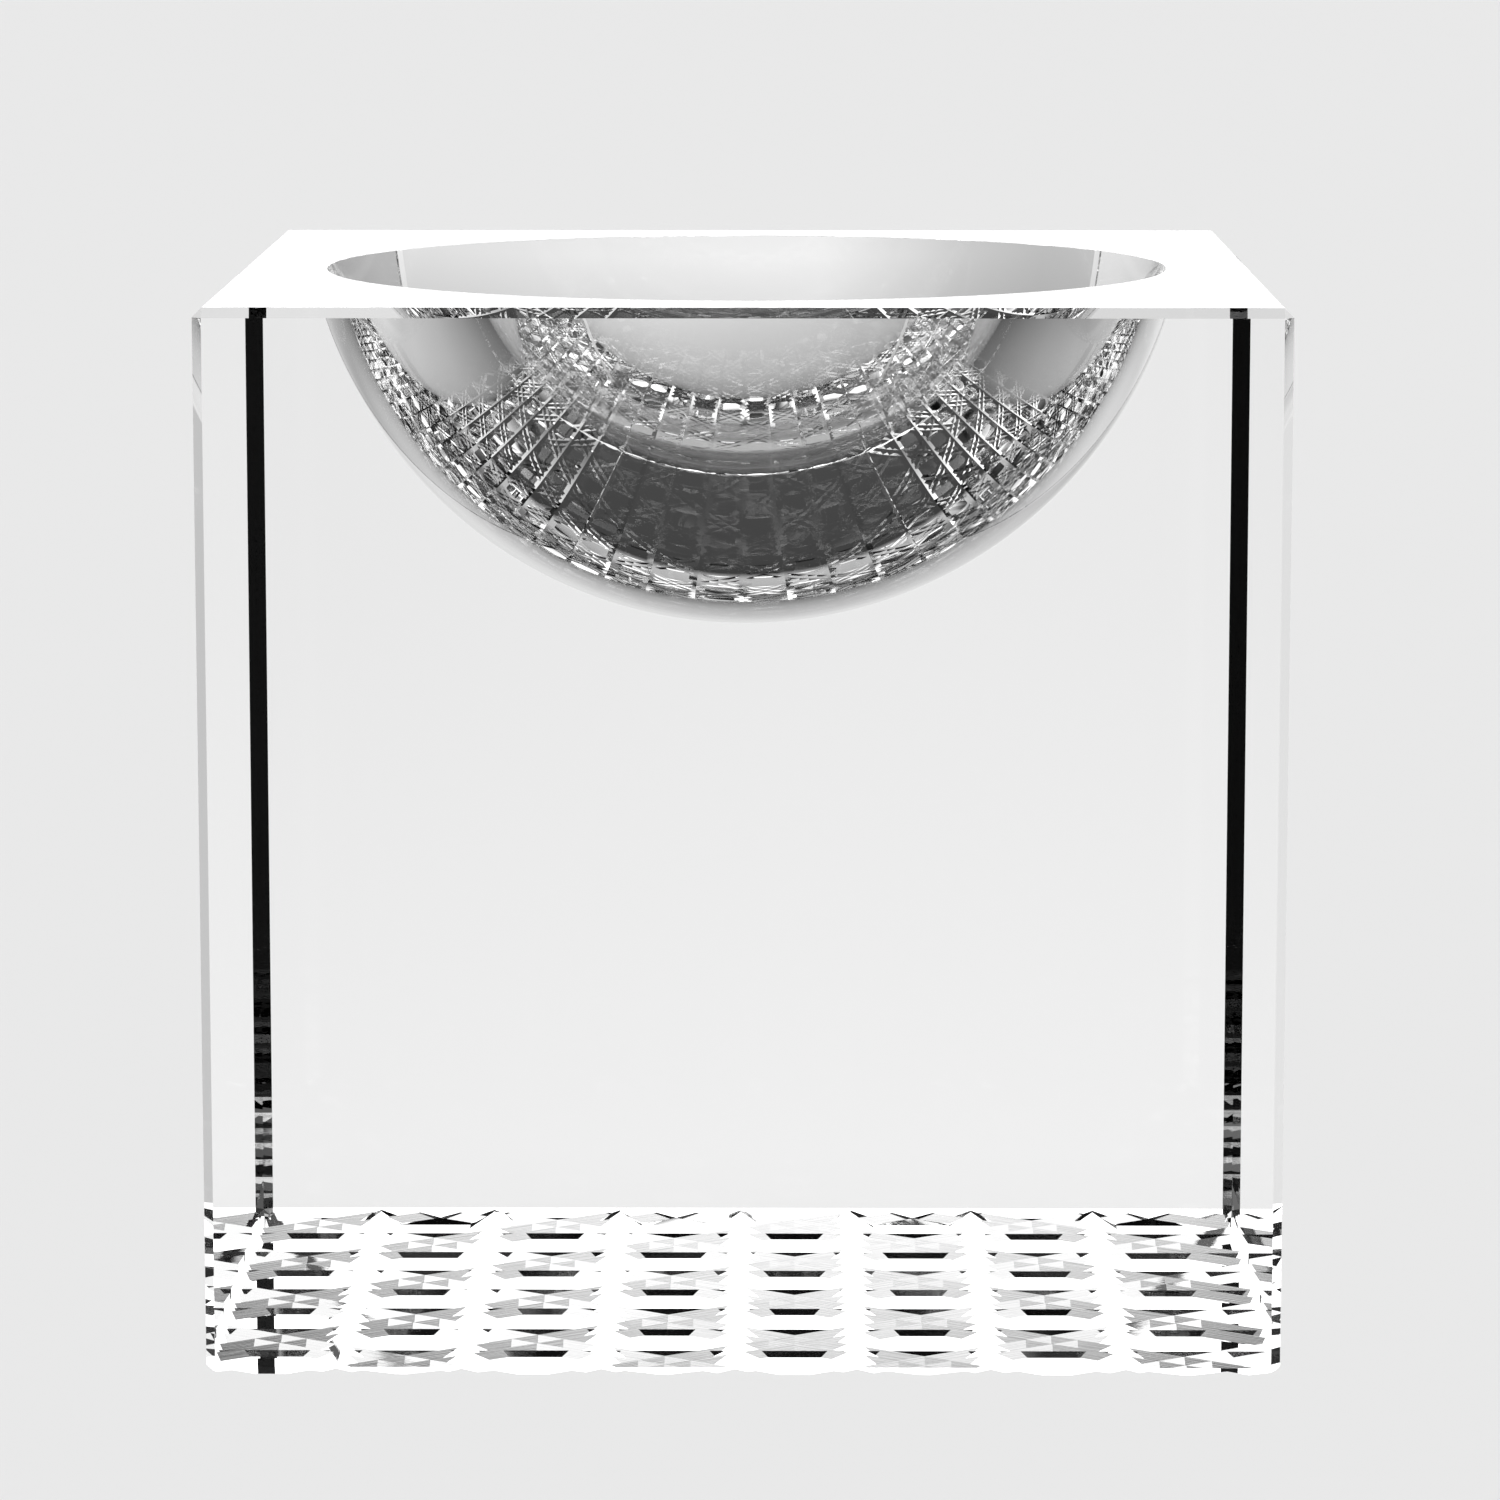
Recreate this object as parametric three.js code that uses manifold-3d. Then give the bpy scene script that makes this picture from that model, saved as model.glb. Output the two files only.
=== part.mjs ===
// A square block of clear cut crystal with a round bowl sunk into its top and a
// basket-weave pattern of shallow wheel-cut grooves across its underside.
// Millimetres, +Z up. The origin is the middle of the underside.
import * as THREE from "three";
import { ConvexGeometry } from "three/addons/geometries/ConvexGeometry.js";
import { mergeVertices } from "three/addons/utils/BufferGeometryUtils.js";
import Module from "manifold-3d";

// The block, with one flat chamfer along all twelve edges.
const WIDTH = 80;
const DEPTH = 80;
const HEIGHT = 79.6;
const CHAMFER = 0.72;

// The bowl: the lower part of a sphere, with a fine bevel at its rim.
const BOWL_RADIUS = 33.82;
const BOWL_DEPTH = 26.42;
const RIM_BEVEL = 0.25;
const BOWL_SEGMENTS = 96;
const BOWL_RINGS = 20;

// The grooves: seven across and seven lengthwise, and pairs of diagonals that pass
// over every other crossing, which leaves an eight-sided flat in every other cell.
const PITCH = 9.76;
const FIRST_LENGTHWISE = -30.3;
const FIRST_CROSSWISE = -29.9;
const PAIR_OFFSET = 1.97;
const LENGTHWISE = { depth: 0.58, halfWidth: 1.85 };
const CROSSWISE = { depth: 0.32, halfWidth: 1.19 };
const DIAGONAL = { depth: 0.4, halfWidth: 1.5 };

// How far each hand-cut groove lies from its even place, from left and from front.
const LENGTHWISE_WANDER = [0, -0.4, 0.25, 0.45, -0.25, -0.05, 0.25];
const CROSSWISE_WANDER = [0, 0.3, 0.5, 0.2, 0, -0.2, 0.1];

// How far the cutting tools reach past the surfaces that they cut.
const OVERSHOOT = 1;

const wasm = await Module();
wasm.setup();

/** A closed three.js geometry as a solid, without its seams and pinched triangles. */
function toSolid(geometry) {
  geometry.deleteAttribute("normal");
  geometry.deleteAttribute("uv");
  const merged = mergeVertices(geometry, 1e-5);
  const corners = merged.index.array;
  const triangles = [];
  for (let i = 0; i < corners.length; i += 3) {
    const [a, b, c] = corners.slice(i, i + 3);
    if (a !== b && b !== c && c !== a) triangles.push(a, b, c);
  }
  return new wasm.Manifold(new wasm.Mesh({
    numProp: 3,
    vertProperties: new Float32Array(merged.attributes.position.array),
    triVerts: new Uint32Array(triangles),
  }));
}

/** A solid as a three.js geometry with flat-shaded faces. */
function toGeometry(solid) {
  const mesh = solid.getMesh();
  const geometry = new THREE.BufferGeometry();
  geometry.setAttribute("position", new THREE.BufferAttribute(mesh.vertProperties, 3));
  geometry.setIndex(new THREE.BufferAttribute(mesh.triVerts, 1));
  geometry.computeVertexNormals();
  return geometry;
}

/** The plain block: the hull of the three corner points that each chamfered corner has. */
function chamferedBlock() {
  const points = [];
  for (const x of [-1, 1]) {
    for (const y of [-1, 1]) {
      for (const z of [-1, 1]) {
        const corner = new THREE.Vector3(x * WIDTH / 2, y * DEPTH / 2, z * HEIGHT / 2);
        for (const kept of ["x", "y", "z"]) {
          const point = corner.clone();
          for (const axis of ["x", "y", "z"]) {
            if (axis !== kept) point[axis] -= Math.sign(corner[axis]) * CHAMFER;
          }
          points.push(point);
        }
      }
    }
  }
  return toSolid(new ConvexGeometry(points).translate(0, 0, HEIGHT / 2));
}

/** The bowl's cutter: the sunk part of the sphere, the rim's bevel and a lid above them. */
function bowlCutter() {
  const centreAboveTop = BOWL_RADIUS - BOWL_DEPTH;
  const rimAngle = Math.acos(centreAboveTop / BOWL_RADIUS);
  const profile = [];
  for (let i = 0; i <= BOWL_RINGS; i++) {
    const angle = rimAngle * i / BOWL_RINGS;
    const radius = i === 0 ? 0 : BOWL_RADIUS * Math.sin(angle);
    profile.push(new THREE.Vector2(radius, centreAboveTop - BOWL_RADIUS * Math.cos(angle)));
  }
  // The bevel replaces the last of the arc, at 45 degrees through the top face.
  const rimRadius = profile.pop().x;
  const bevelFoot = Math.sqrt(BOWL_RADIUS ** 2 - (centreAboveTop + RIM_BEVEL) ** 2);
  profile.push(new THREE.Vector2(bevelFoot, -RIM_BEVEL));
  profile.push(new THREE.Vector2(rimRadius + RIM_BEVEL + OVERSHOOT, OVERSHOOT));
  profile.push(new THREE.Vector2(0, OVERSHOOT));
  const lathe = new THREE.LatheGeometry(profile, BOWL_SEGMENTS);
  return toSolid(lathe.rotateX(Math.PI / 2).translate(0, 0, HEIGHT));
}

/** One V groove through (x, y) on the underside, at an angle from the X axis. */
function grooveCutter({ depth, halfWidth }, x, y, angle) {
  const length = 2 * Math.hypot(WIDTH, DEPTH);
  const footWidth = halfWidth * (depth + OVERSHOOT) / depth;
  const section = new THREE.Shape([
    new THREE.Vector2(-footWidth, -OVERSHOOT),
    new THREE.Vector2(footWidth, -OVERSHOOT),
    new THREE.Vector2(0, depth),
  ]);
  const prism = new THREE.ExtrudeGeometry(section, { depth: length, bevelEnabled: false });
  prism.translate(0, 0, -length / 2).rotateX(Math.PI / 2);
  return toSolid(prism.rotateZ(angle - Math.PI / 2).translate(x, y, 0));
}

/** Two diagonal grooves, either side of a point some pitches along the first crosswise one. */
function diagonalPair(step, angle) {
  const x = FIRST_LENGTHWISE + step * PITCH;
  return [-PAIR_OFFSET, PAIR_OFFSET].map((offset) => (
    grooveCutter(DIAGONAL, x + offset, FIRST_CROSSWISE, angle)
  ));
}

/** The cutters of all the grooves. */
function grooveCutters() {
  const cutters = [];
  LENGTHWISE_WANDER.forEach((wander, i) => {
    const x = FIRST_LENGTHWISE + i * PITCH + wander;
    cutters.push(grooveCutter(LENGTHWISE, x, 0, Math.PI / 2));
  });
  CROSSWISE_WANDER.forEach((wander, i) => {
    const y = FIRST_CROSSWISE + i * PITCH + wander;
    cutters.push(grooveCutter(CROSSWISE, 0, y, 0));
  });
  for (let step = -2; step <= 14; step += 2) cutters.push(...diagonalPair(step, -Math.PI / 4));
  for (let step = -7; step <= 7; step += 2) cutters.push(...diagonalPair(step, Math.PI / 4));
  return cutters;
}

let crystal = chamferedBlock().subtract(bowlCutter());
for (const cutter of grooveCutters()) crystal = crystal.subtract(cutter);

const clearCrystal = new THREE.MeshStandardMaterial({
  color: 0xeef1f1, roughness: 0.02, metalness: 0, transparent: true, opacity: 0.35,
});
const block = new THREE.Mesh(toGeometry(crystal), clearCrystal);
block.name = "crystal_block";

const part = new THREE.Group();
part.add(block);

export default part;
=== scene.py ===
"""A square block of clear cut crystal with a round bowl in its top and a basket-weave pattern
of wheel-cut grooves across its underside, on a plain pale floor in soft studio light. Metres."""

import math

import bmesh
import bpy
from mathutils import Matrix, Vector


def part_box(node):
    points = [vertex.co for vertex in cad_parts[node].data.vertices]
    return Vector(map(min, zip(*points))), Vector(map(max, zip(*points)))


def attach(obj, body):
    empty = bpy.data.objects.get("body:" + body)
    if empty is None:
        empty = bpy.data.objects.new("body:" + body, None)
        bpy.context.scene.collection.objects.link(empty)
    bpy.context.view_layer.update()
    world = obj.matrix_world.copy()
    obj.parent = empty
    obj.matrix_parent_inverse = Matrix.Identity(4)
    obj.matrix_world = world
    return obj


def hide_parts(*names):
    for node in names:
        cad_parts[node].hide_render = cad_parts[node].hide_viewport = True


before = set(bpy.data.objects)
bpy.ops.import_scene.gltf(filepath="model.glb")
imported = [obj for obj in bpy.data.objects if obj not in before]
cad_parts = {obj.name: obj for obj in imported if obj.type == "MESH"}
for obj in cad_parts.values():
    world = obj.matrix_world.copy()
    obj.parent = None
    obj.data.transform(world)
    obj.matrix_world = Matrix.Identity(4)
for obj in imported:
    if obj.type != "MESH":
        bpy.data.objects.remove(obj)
bpy.context.view_layer.update()

# The block as packed.
NODE = "crystal_block"
LOW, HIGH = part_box(NODE)
WIDTH = HIGH.x - LOW.x
TOP = HIGH.z

# The bowl, which is part of a sphere, and the bevel at its rim, as in the CAD.
BOWL_RADIUS = 0.03382
BOWL_DEPTH = 0.02642
RIM_BEVEL = 0.00025
BOWL_CENTRE = Vector((0, 0, TOP - BOWL_DEPTH + BOWL_RADIUS))
BOWL_CUTS = 3

# The grooves are all shallower than this.
GROOVE_TOP = 0.0007

# How far apart two points may be and still count as one, and as lying on a surface.
WELD = 1e-7
TOUCH = 5e-6

# Faces that meet at less than the first angle are one flat face, and at less than the
# second are shaded as one smooth surface.
FLAT_ANGLE = math.radians(0.1)
SMOOTH_ANGLE = math.radians(8)

CRYSTAL_IOR = 1.52

# The grinding marks in the grooves: noise cells a metre along and across, and heights.
MARKS_ALONG = 150
MARKS_ACROSS = 9000
STRAIGHT_MARKS = 1e-6
DIAGONAL_MARKS = 2.5e-6

# The camera's floor and the one seen in the crystal lie just below the block.
FLOOR_HALF = 8.0
FLOOR_HEIGHT = -0.0002
# The floor seen in the crystal is a glowing sheet with painted light and shadow.
SEEN_FLOOR_HEIGHT = -0.0001
PALE = 0.82
LAMP_ENERGY = 2.05

# How far outside the block its patch of painted shadow on the seen floor still reaches.
PAINTED_SHADOW_EDGE = 0.0002

CARD_GAP = 0.0015
CARD_WIDTH = 0.0065


# ---------------------------------------------------------------- mesh

def on_sphere(point):
    return abs((point - BOWL_CENTRE).length - BOWL_RADIUS) < TOUCH


def is_bowl(face):
    return all(on_sphere(v.co) for v in face.verts)


def is_rim_bevel(face):
    """The narrow cone between the bowl and the top face."""
    inside = all(math.hypot(v.co.x, v.co.y) < WIDTH * 0.45 for v in face.verts)
    return inside and 0.1 < face.normal.z < 0.9 and not is_bowl(face)


def make_round(vertex, outer_radius):
    """Moves a new vertex out from its chord onto the sphere, or onto the circle at the rim."""
    flat = math.hypot(vertex.co.x, vertex.co.y)
    if abs(vertex.co.z - TOP) < TOUCH:
        grow = outer_radius / flat
        vertex.co.x *= grow
        vertex.co.y *= grow
    elif abs(vertex.co.z - (TOP - RIM_BEVEL)) < TOUCH:
        drop = BOWL_CENTRE.z - vertex.co.z
        grow = math.sqrt(BOWL_RADIUS ** 2 - drop ** 2) / flat
        vertex.co.x *= grow
        vertex.co.y *= grow
    else:
        away = vertex.co - BOWL_CENTRE
        vertex.co = BOWL_CENTRE + away * (BOWL_RADIUS / away.length)


def crystal_mesh():
    """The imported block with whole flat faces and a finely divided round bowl."""
    work = bmesh.new()
    work.from_mesh(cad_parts[NODE].data)
    bmesh.ops.remove_doubles(work, verts=work.verts, dist=WELD)
    bmesh.ops.dissolve_limit(
        work, angle_limit=FLAT_ANGLE, verts=work.verts, edges=work.edges
    )
    work.normal_update()
    bowl = [f for f in work.faces if is_bowl(f)]
    bevel = [f for f in work.faces if is_rim_bevel(f)]
    rim = [v for f in bevel for v in f.verts if abs(v.co.z - TOP) < TOUCH]
    outer_radius = max(math.hypot(v.co.x, v.co.y) for v in rim)
    edges = {e for f in bowl + bevel for e in f.edges}
    bmesh.ops.subdivide_edges(
        work, edges=list(edges), cuts=BOWL_CUTS, use_grid_fill=True
    )
    work.normal_update()
    return work, outer_radius


def surface_kind(face):
    """Which of the SURFACES a face belongs to, told from where it is and how it faces."""
    normal = face.normal
    centre = face.calc_center_median()
    if centre.z < GROOVE_TOP and -0.9999 < normal.z < -0.85:
        if abs(normal.x) < 0.02:
            return "crosswise"
        if abs(normal.y) < 0.02:
            return "lengthwise"
        if normal.x * normal.y > 0:
            return "falling"
        return "rising"
    straight = max(abs(normal.x), abs(normal.y), abs(normal.z)) > 0.999
    outside = math.hypot(centre.x, centre.y) > BOWL_RADIUS or centre.z < GROOVE_TOP * 3
    if outside and not straight:
        return "chamfer"
    return "polished"


def finish_mesh(work, outer_radius, names):
    """The mesh of the divided block, with a round bowl and a material for each face."""
    rounded = set()
    for face in work.faces:
        centre = face.calc_center_median()
        near = (centre - BOWL_CENTRE).length < BOWL_RADIUS + RIM_BEVEL
        if near and centre.z < TOP - TOUCH:
            rounded.update(face.verts)
            face.smooth = True
        else:
            face.material_index = names.index(surface_kind(face))
    for vertex in rounded:
        make_round(vertex, outer_radius)
    work.normal_update()
    for edge in work.edges:
        edge.smooth = edge.calc_face_angle(0) < SMOOTH_ANGLE
    mesh = bpy.data.meshes.new("cut_crystal")
    work.to_mesh(mesh)
    work.free()
    return mesh


# ---------------------------------------------------------------- nodes

def calculate(tree, operation, first, second=None):
    node = tree.nodes.new("ShaderNodeMath")
    node.operation = operation
    for socket, value in zip(node.inputs, (first, second)):
        if isinstance(value, bpy.types.NodeSocket):
            tree.links.new(value, socket)
        elif value is not None:
            socket.default_value = value
    return node.outputs[0]


def ramp(tree, value, low, high, stops):
    """Level against value, in straight lines between the stops, from low to high."""
    scale = tree.nodes.new("ShaderNodeMapRange")
    scale.inputs["From Min"].default_value = low
    scale.inputs["From Max"].default_value = high
    tree.links.new(value, scale.inputs["Value"])
    node = tree.nodes.new("ShaderNodeValToRGB")
    points = node.color_ramp.elements
    for place, level in stops[1:-1]:
        point = points.new((place - low) / (high - low))
        point.color = (level, level, level, 1)
    for point, (place, level) in ((points[0], stops[0]), (points[len(points) - 1], stops[-1])):
        point.color = (level, level, level, 1)
    tree.links.new(scale.outputs["Result"], node.inputs["Fac"])
    return node.outputs["Color"]


def past_edge(tree, value):
    """How far a coordinate lies outside the block."""
    away = calculate(tree, "SUBTRACT", calculate(tree, "ABSOLUTE", value), WIDTH / 2)
    return calculate(tree, "MAXIMUM", away, 0.0)


# ---------------------------------------------------------------- materials

def crystal_shader(name):
    """A polished clear material and its shader."""
    material = bpy.data.materials.new(name)
    material.use_nodes = True
    shader = material.node_tree.nodes["Principled BSDF"]
    shader.inputs["Base Color"].default_value = (1, 1, 1, 1)
    shader.inputs["Roughness"].default_value = 0.0
    shader.inputs["IOR"].default_value = CRYSTAL_IOR
    shader.inputs["Transmission Weight"].default_value = 1.0
    return material, shader


def polished(name):
    material, shader = crystal_shader(name)
    return material


def wheel_cut(name, angle, height):
    """Clear crystal with fine straight grinding marks, along a line at an angle from X."""
    material, shader = crystal_shader(name)
    tree = material.node_tree
    place = tree.nodes.new("ShaderNodeTexCoord")
    turn = tree.nodes.new("ShaderNodeMapping")
    turn.vector_type = "TEXTURE"
    turn.inputs["Rotation"].default_value = (0, 0, angle)
    stretch = tree.nodes.new("ShaderNodeMapping")
    stretch.inputs["Scale"].default_value = (MARKS_ALONG, MARKS_ACROSS, 0)
    marks = tree.nodes.new("ShaderNodeTexNoise")
    marks.inputs["Scale"].default_value = 1.0
    marks.inputs["Detail"].default_value = 2.0
    bump = tree.nodes.new("ShaderNodeBump")
    bump.inputs["Strength"].default_value = 1.0
    bump.inputs["Distance"].default_value = height
    tree.links.new(place.outputs["Object"], turn.inputs["Vector"])
    tree.links.new(turn.outputs["Vector"], stretch.inputs["Vector"])
    tree.links.new(stretch.outputs["Vector"], marks.inputs["Vector"])
    tree.links.new(marks.outputs["Fac"], bump.inputs["Height"])
    tree.links.new(bump.outputs["Normal"], shader.inputs["Normal"])
    return material


def floor_material():
    material = bpy.data.materials.new("pale_floor")
    material.use_nodes = True
    shader = material.node_tree.nodes["Principled BSDF"]
    shader.inputs["Base Color"].default_value = (0.8, 0.8, 0.8, 1)
    shader.inputs["Roughness"].default_value = 1.0
    shader.inputs["Specular IOR Level"].default_value = 0.0
    return material


def painted_light_and_shadow_beside(tree, x, y, gap):
    """The floor round the block, with painted light and shadow: brighter to the back and the left,
    and dim close to the block, where a painted shadow lies.
    """
    # Painted light: the floor grows brighter towards the back.
    back = ramp(tree, y, -0.2, 0.6, [
        (-0.2, 0.02), (-0.06, 0.1), (-0.045, 0.19), (-0.03, 0.28), (0, 0.42), (0.04, 0.53),
        (0.056, 0.53), (0.074, 0.6), (0.09, 0.66), (0.12, 0.76), (0.2, 0.92), (0.6, 1.02),
    ])
    # Painted light: brighter to the left, dimmer to the right.
    side = ramp(tree, x, -0.3, 0.3, [
        (-0.3, 1.15), (-0.05, 1.12), (0, 1), (0.05, 0.96), (0.1, 0.8), (0.15, 0.58), (0.3, 0.5),
    ])
    # Painted shadow of the block, darkest right beside it.
    near = ramp(tree, gap, 0, 0.05, [
        (0, 0.4), (0.01, 0.8), (0.02, 0.95), (0.05, 1),
    ])
    return calculate(tree, "MULTIPLY", calculate(tree, "MULTIPLY", back, side), near)


def painted_shadow_and_light_beneath(tree, y):
    """The floor under the block: a dark painted shadow, with a painted band of light that leaks in
    from the back.
    """
    # Painted shadow under the block, with a painted band of leaked light from 0.021 to 0.033 along Y.
    return ramp(tree, y, -0.04, 0.04, [
        (-0.04, 0.07), (0.004, 0.06), (0.016, 0.05), (0.021, 0.55), (0.027, 0.55),
        (0.033, 0.25), (0.04, 0.2),
    ])


def painted_floor_material():
    """The floor as the crystal shows it: a sheet that glows with painted light and shadow. At grazing
    angles, beside the block, it gives way to the world's low band, a painted reflection of a bright
    backdrop."""
    material = bpy.data.materials.new("painted_light_floor")
    material.use_nodes = True
    tree = material.node_tree
    tree.nodes.clear()
    place = tree.nodes.new("ShaderNodeTexCoord")
    split = tree.nodes.new("ShaderNodeSeparateXYZ")
    tree.links.new(place.outputs["Object"], split.inputs[0])
    x, y = split.outputs["X"], split.outputs["Y"]
    away = [past_edge(tree, along) for along in (x, y)]
    squares = [calculate(tree, "MULTIPLY", along, along) for along in away]
    gap = calculate(tree, "SQRT", calculate(tree, "ADD", *squares))

    # The block's footprint, where the painted shadow lies.
    under = calculate(tree, "LESS_THAN", gap, PAINTED_SHADOW_EDGE)
    mix = tree.nodes.new("ShaderNodeMix")
    tree.links.new(under, mix.inputs["Factor"])
    tree.links.new(painted_light_and_shadow_beside(tree, x, y, gap), mix.inputs["A"])
    tree.links.new(painted_shadow_and_light_beneath(tree, y), mix.inputs["B"])
    # The floor's painted light: a glowing sheet, not lit by the lamps.
    painted_floor_glow = tree.nodes.new("ShaderNodeEmission")
    tree.links.new(mix.outputs["Result"], painted_floor_glow.inputs["Strength"])

    # Painted reflection: at grazing angles beside the block the floor turns clear to show the world's
    # low band.
    weight = tree.nodes.new("ShaderNodeLayerWeight")
    weight.inputs["Blend"].default_value = 0.5
    painted_reflection = ramp(tree, weight.outputs["Facing"], 0, 1, [(0, 0), (0.42, 0), (0.66, 1), (1, 1)])
    beside = calculate(tree, "SUBTRACT", 1.0, under)
    painted_reflection_mix = calculate(tree, "MULTIPLY", painted_reflection, beside)
    clear = tree.nodes.new("ShaderNodeBsdfTransparent")
    blend = tree.nodes.new("ShaderNodeMixShader")
    out = tree.nodes.new("ShaderNodeOutputMaterial")
    tree.links.new(painted_reflection_mix, blend.inputs["Fac"])
    tree.links.new(painted_floor_glow.outputs[0], blend.inputs[1])
    tree.links.new(clear.outputs[0], blend.inputs[2])
    tree.links.new(blend.outputs[0], out.inputs["Surface"])
    return material


# ---------------------------------------------------------------- the stage

def four_sided(name, corners, material):
    """A flat piece of the stage."""
    mesh = bpy.data.meshes.new(name)
    mesh.from_pydata(corners, [], [(0, 1, 2, 3)])
    mesh.materials.append(material)
    item = bpy.data.objects.new(name, mesh)
    bpy.context.scene.collection.objects.link(item)
    return item


def floor_square(name, height, material):
    half = FLOOR_HALF
    corners = [
        (-half, -half, height), (half, -half, height), (half, half, height), (-half, half, height)
    ]
    return four_sided(name, corners, material)


def show_in_crystal_only(item):
    """Hides a piece from the camera and from the light on the rest of the stage."""
    item.visible_camera = False
    item.visible_diffuse = False
    item.visible_shadow = False


def make_floor():
    """One floor for the camera, evenly lit, and one that shows only in the crystal, glowing with
    painted light and shadow.
    """
    floor = floor_square("floor", FLOOR_HEIGHT, floor_material())
    floor.visible_glossy = False
    floor.visible_transmission = False
    seen = floor_square("painted_floor_seen_in_crystal", SEEN_FLOOR_HEIGHT, painted_floor_material())
    show_in_crystal_only(seen)


def make_shade_cards():
    """Black cards beside the back of the block, hidden from the camera, which show in its chamfers as
    dark lines: painted shade seen only in the crystal.
    """
    material = bpy.data.materials.new("painted_shade_card")
    material.use_nodes = True
    shader = material.node_tree.nodes["Principled BSDF"]
    shader.inputs["Base Color"].default_value = (0, 0, 0, 1)
    shader.inputs["Specular IOR Level"].default_value = 0.0
    near = WIDTH / 2 - CARD_WIDTH
    far = WIDTH / 2
    for side in (-1, 1):
        x = side * (WIDTH / 2 + CARD_GAP)
        corners = [(x, near, 0), (x, far, 0), (x, far, TOP), (x, near, TOP)]
        show_in_crystal_only(four_sided("card", corners, material))


def make_lamp():
    """Even soft light from above, for the floor alone."""
    data = bpy.data.lights.new("overhead", "SUN")
    data.energy = LAMP_ENERGY
    data.angle = math.radians(120)
    lamp = bpy.data.objects.new("overhead", data)
    lamp.visible_glossy = False
    lamp.visible_transmission = False
    bpy.context.scene.collection.objects.link(lamp)


def make_world():
    """A bright backdrop, with a dark room in front and overhead, and below the horizon a painted
    floor with a painted reflection of the backdrop. The camera sees a plain pale backdrop.
    """
    world = bpy.data.worlds.new("studio")
    bpy.context.scene.world = world
    world.use_nodes = True
    tree = world.node_tree
    tree.nodes.clear()
    out = tree.nodes.new("ShaderNodeOutputWorld")
    place = tree.nodes.new("ShaderNodeTexCoord")
    split = tree.nodes.new("ShaderNodeSeparateXYZ")
    tree.links.new(place.outputs["Generated"], split.inputs[0])
    depth = ramp(tree, split.outputs["Y"], -1, 1, [
        (-1, 0.005), (-0.5, 0.02), (-0.2, 0.15), (0, 0.35), (0.3, 0.8), (0.6, 1.15), (1, 1.28),
    ])
    # Below the horizon these levels paint the floor's light and its reflection of the backdrop.
    height = ramp(tree, split.outputs["Z"], -1, 1, [
        (-1, 0.78), (-0.3, 0.8), (-0.22, 0.93), (-0.13, 0.88), (-0.02, 0.85), (0.05, 1.6), (0.2, 2.2),
        (0.5, 2.2), (0.725, 1.4), (0.755, 0.7), (0.785, 0.06), (0.84, 0.01), (1, 0.0),
    ])
    side = ramp(tree, split.outputs["X"], -1, 1, [
        (-1, 0.8), (0, 1), (0.1, 1), (0.2, 0.87), (0.33, 0.7), (0.5, 0.58), (1, 0.5),
    ])
    studio = tree.nodes.new("ShaderNodeBackground")
    level = calculate(tree, "MULTIPLY", calculate(tree, "MULTIPLY", depth, height), side)
    tree.links.new(level, studio.inputs["Strength"])
    plain = tree.nodes.new("ShaderNodeBackground")
    plain.inputs["Color"].default_value = (PALE, PALE, PALE, 1)
    path = tree.nodes.new("ShaderNodeLightPath")
    mix = tree.nodes.new("ShaderNodeMixShader")
    tree.links.new(path.outputs["Is Camera Ray"], mix.inputs["Fac"])
    tree.links.new(studio.outputs[0], mix.inputs[1])
    tree.links.new(plain.outputs[0], mix.inputs[2])
    tree.links.new(mix.outputs[0], out.inputs["Surface"])


def make_camera():
    data = bpy.data.cameras.new("camera")
    data.lens = 147.24
    data.sensor_width = 36
    data.clip_end = 50
    camera = bpy.data.objects.new("camera", data)
    camera.location = (0.003467, -0.483811, 0.116952)
    camera.rotation_euler = (math.pi / 2 - 0.1558, 0, 0.0066)
    bpy.context.scene.collection.objects.link(camera)
    bpy.context.scene.camera = camera


def render_settings():
    scene = bpy.context.scene
    scene.view_settings.view_transform = "Standard"
    scene.cycles.max_bounces = 32
    scene.cycles.glossy_bounces = 32
    scene.cycles.transmission_bounces = 32
    scene.cycles.diffuse_bounces = 2


make_camera()
make_world()
make_floor()
make_shade_cards()
make_lamp()
render_settings()

SURFACES = {
    "polished": polished("polished_crystal"),
    "chamfer": polished("chamfer_crystal"),
    "lengthwise": wheel_cut("lengthwise_cut", math.pi / 2, STRAIGHT_MARKS),
    "crosswise": wheel_cut("crosswise_cut", 0, STRAIGHT_MARKS),
    "rising": wheel_cut("rising_cut", math.pi / 4, DIAGONAL_MARKS),
    "falling": wheel_cut("falling_cut", -math.pi / 4, DIAGONAL_MARKS),
}

work, rim_radius = crystal_mesh()
block = bpy.data.objects.new("crystal", finish_mesh(work, rim_radius, list(SURFACES)))
for material in SURFACES.values():
    block.data.materials.append(material)
block.visible_shadow = False
block.visible_diffuse = False
bpy.context.scene.collection.objects.link(block)
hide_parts(NODE)
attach(block, "root")

bpy.context.view_layer.update()
